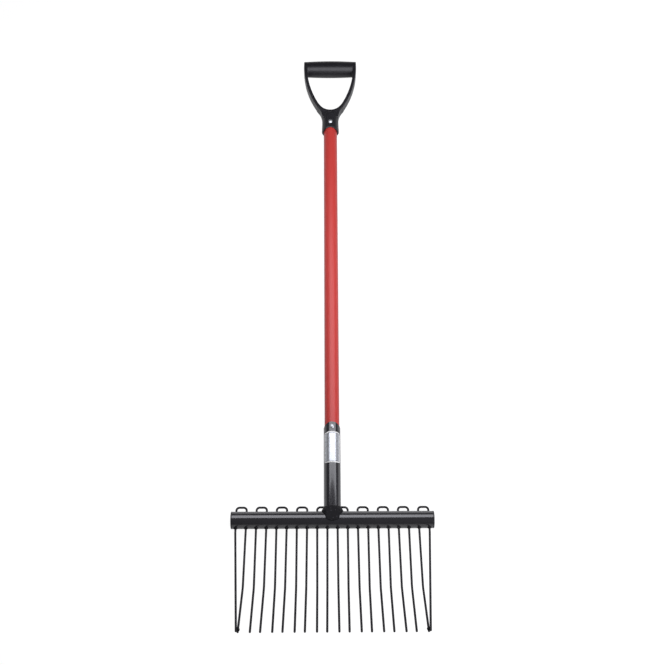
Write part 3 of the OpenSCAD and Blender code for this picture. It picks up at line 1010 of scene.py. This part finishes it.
@dataclass
class Studio:
    """White floor, soft overhead light, dim room and the camera.

    Attributes:
        camera_mm: Place of the camera.
        elevation: Degrees that the camera looks down.
        azimuth: Degrees that it stands aside from the fork's line.
        roll: Degrees that it leans.
        focal_px: Focal length in pixels of the photograph.
        frame_px: Width of the photograph.
        sensor_mm: Width of the sensor.
        box_left_right_m: X of the softbox's sides.
        box_near_m: Y and Z of its edge nearer the head.
        box_far_m: Y and Z of its edge nearer the handle.
        box_radiance: Brightness of its face.
        lamp_tint: Colour of both lamps, a little cool.
        fill_at_m: Place of the fill lamp.
        fill_aim_m: Point that the fill lamp shines at.
        fill_size_m: Side of the fill lamp.
        fill_radiance: Brightness of its face.
        room_level: Brightness of the room.
        sheet_level: Brightness of a pale sheet that stands beyond the tips.
        sheet_rise: Heights between which the sheet fades out, as the Z of a direction.
        sheet_front: The same towards its sides, as the Y of a direction.
        cove_rise: Heights between which the white at the floor's end fades out.
        floor_half_m: Half the floor's side.
        floor_glow: White that the camera sees without any lamp.
        floor_lit: What the lamps add to it, so that the shadow shows.
        floor_bounce: Share of light that the floor throws back at the fork.
        floor_in_gloss: Share of the white that a glossy surface reflects.
    """

    camera_mm: tuple[float, float, float] = (-7.5, -811.4, 1956.9)
    elevation: float = 68.0
    azimuth: float = -0.7
    roll: float = -0.42
    focal_px: float = 1050.0
    frame_px: float = 665.0
    sensor_mm: float = 36.0
    box_left_right_m: tuple[float, float] = (-0.5, 0.8)
    box_near_m: tuple[float, float] = (-0.17, 0.68)
    box_far_m: tuple[float, float] = (0.54, 0.66)
    box_radiance: float = 3.0
    lamp_tint: tuple[float, float, float] = (0.93, 0.935, 1.0)
    fill_at_m: tuple[float, float, float] = (0.85, -0.95, 0.9)
    fill_aim_m: tuple[float, float, float] = (0.0, -0.25, 0.0)
    fill_size_m: float = 0.6
    fill_radiance: float = 8.0
    room_level: float = 0.12
    sheet_level: float = 0.5
    sheet_rise: tuple[float, float] = (0.22, 0.42)
    sheet_front: tuple[float, float] = (-0.35, -0.75)
    cove_rise: tuple[float, float] = (0.07, 0.16)
    floor_half_m: float = 40.0
    floor_glow: float = 0.93
    floor_lit: float = 0.18
    floor_bounce: float = 0.5
    floor_in_gloss: float = 0.35

    def build(self) -> None:
        """Sets up the stage."""
        bpy.context.scene.view_settings.view_transform = "Standard"
        self._camera()
        self._softbox()
        self._fill()
        self._room()
        self._floor()

    def _camera(self) -> None:
        """Stands the camera where the photograph was taken from."""
        data = bpy.data.cameras.new("camera")
        data.sensor_fit = "HORIZONTAL"
        data.sensor_width = self.sensor_mm
        data.lens = self.focal_px / self.frame_px * self.sensor_mm
        data.dof.use_dof = False
        camera = bpy.data.objects.new("camera", data)
        bpy.context.scene.collection.objects.link(camera)
        rise, lean = math.radians(self.elevation), math.radians(self.roll)
        swing = math.radians(self.azimuth)
        back = Vector(
            (math.sin(swing) * math.cos(rise), -math.cos(swing) * math.cos(rise), math.sin(rise))
        )
        right = Vector((math.cos(swing), math.sin(swing), 0.0))
        up = back.cross(right)
        right, up = (
            right * math.cos(lean) - up * math.sin(lean),
            right * math.sin(lean) + up * math.cos(lean),
        )
        turn = Matrix((right, up, back)).transposed().to_4x4()
        camera.matrix_world = Matrix.Translation(Vector(self.camera_mm) * MM) @ turn
        bpy.context.scene.camera = camera

    def _softbox(self) -> None:
        """Hangs a wide softbox over the shaft, nearly level."""
        left, right = self.box_left_right_m
        near, far = Vector((0.0, *self.box_near_m)), Vector((0.0, *self.box_far_m))
        along = (far - near).normalized()
        side = Vector((1.0, 0.0, 0.0))
        turn = Matrix((side, along, side.cross(along))).transposed()
        middle = (near + far) / 2 + side * (left + right) / 2
        self._lamp("softbox", middle, turn, (right - left, (far - near).length), self.box_radiance)

    def _fill(self) -> None:
        """Stands a small soft lamp low on the right, where no tube throws it back at the camera."""
        place = Vector(self.fill_at_m)
        turn = (place - Vector(self.fill_aim_m)).to_track_quat("Z", "Y").to_matrix()
        self._lamp("fill", place, turn, (self.fill_size_m, self.fill_size_m), self.fill_radiance)

    def _lamp(
        self, name: str, place: Vector, turn: Matrix, size: tuple[float, float], radiance: float
    ) -> None:
        """Makes one rectangular lamp.

        Args:
            name: Name of the lamp.
            place: Its middle, in metres.
            turn: Its axes; it shines along minus Z.
            size: Its width and length, in metres.
            radiance: Brightness of its face.
        """
        data = bpy.data.lights.new(name, "AREA")
        data.shape = "RECTANGLE"
        data.size, data.size_y = size
        data.energy = radiance * math.pi * size[0] * size[1]
        data.color = self.lamp_tint
        lamp = bpy.data.objects.new(name, data)
        lamp.matrix_world = Matrix.Translation(place) @ turn.to_4x4()
        bpy.context.scene.collection.objects.link(lamp)

    def _room(self) -> None:
        """Makes the world: a dim room, white where the floor ends, with a pale sheet beyond the tips."""
        world = bpy.data.worlds.new("studio_room")
        bpy.context.scene.world = world
        tree = emptied(world)
        way = add_node(tree, "ShaderNodeTexCoord").outputs["Generated"]
        parts = add_node(tree, "ShaderNodeSeparateXYZ", {"Vector": way}).outputs
        low, cove = (
            add_node(
                tree,
                "ShaderNodeMapRange",
                {"Value": parts["Z"], "From Min": start, "From Max": end, "To Min": top, "To Max": 0.0},
            ).outputs["Result"]
            for (start, end), top in ((self.sheet_rise, 1.0), (self.cove_rise, self.floor_glow))
        )
        start, end = self.sheet_front
        front = add_node(
            tree, "ShaderNodeMapRange", {"Value": parts["Y"], "From Min": start, "From Max": end}
        ).outputs["Result"]
        sheet = add_node(
            tree, "ShaderNodeMath", {0: low, 1: front}, operation="MULTIPLY"
        ).outputs["Value"]
        level = add_node(
            tree,
            "ShaderNodeMapRange",
            {"Value": sheet, "To Min": self.room_level, "To Max": self.sheet_level},
        ).outputs["Result"]
        level = add_node(
            tree, "ShaderNodeMath", {0: level, 1: cove}, operation="MAXIMUM"
        ).outputs["Value"]
        light = add_node(tree, "ShaderNodeBackground", {"Color": WHITE, "Strength": level})
        add_node(tree, "ShaderNodeOutputWorld", {"Surface": light.outputs["Background"]})

    def _floor(self) -> None:
        """Lays a white floor that keeps the fork's shadow."""
        half = self.floor_half_m
        mesh = bpy.data.meshes.new("floor")
        mesh.from_pydata(
            [(-half, -half, 0), (half, -half, 0), (half, half, 0), (-half, half, 0)], [], [(0, 1, 2, 3)]
        )
        floor = new_object("floor", mesh)
        material = bpy.data.materials.new("white_floor")
        tree = emptied(material)
        rays = add_node(tree, "ShaderNodeLightPath").outputs
        seen = add_node(
            tree,
            "ShaderNodeMath",
            {0: rays["Is Glossy Ray"], 1: self.floor_in_gloss},
            operation="MULTIPLY",
        ).outputs["Value"]
        for ray in ("Is Camera Ray", "Is Transmission Ray"):
            seen = add_node(
                tree, "ShaderNodeMath", {0: seen, 1: rays[ray]}, operation="MAXIMUM"
            ).outputs["Value"]
        plain, lit = (
            add_node(tree, "ShaderNodeBsdfDiffuse", {"Color": (level, level, level, 1.0)}).outputs["BSDF"]
            for level in (self.floor_bounce, self.floor_lit)
        )
        glow = add_node(
            tree, "ShaderNodeEmission", {"Color": WHITE, "Strength": self.floor_glow}
        ).outputs["Emission"]
        white = add_node(tree, "ShaderNodeAddShader", {0: lit, 1: glow}).outputs["Shader"]
        surface = add_node(tree, "ShaderNodeMixShader", {0: seen, 1: plain, 2: white}).outputs["Shader"]
        add_node(tree, "ShaderNodeOutputMaterial", {"Surface": surface})
        dress(floor, material)


def main() -> None:
    """Loads the frame, builds each sub-assembly and the stage, and logs each sub-assembly as it is
    dressed.
    """
    logging.basicConfig(level=logging.INFO, format="%(name)s: %(message)s")
    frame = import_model()
    nodes = frame["nodes"]
    for assembly in (DHandle(nodes), Shaft(nodes), Socket(nodes), TineHead(nodes)):
        assembly.build()
        LOG.info("%s is dressed", type(assembly).__name__)
    Studio().build()


if __name__ == "__main__":
    main()
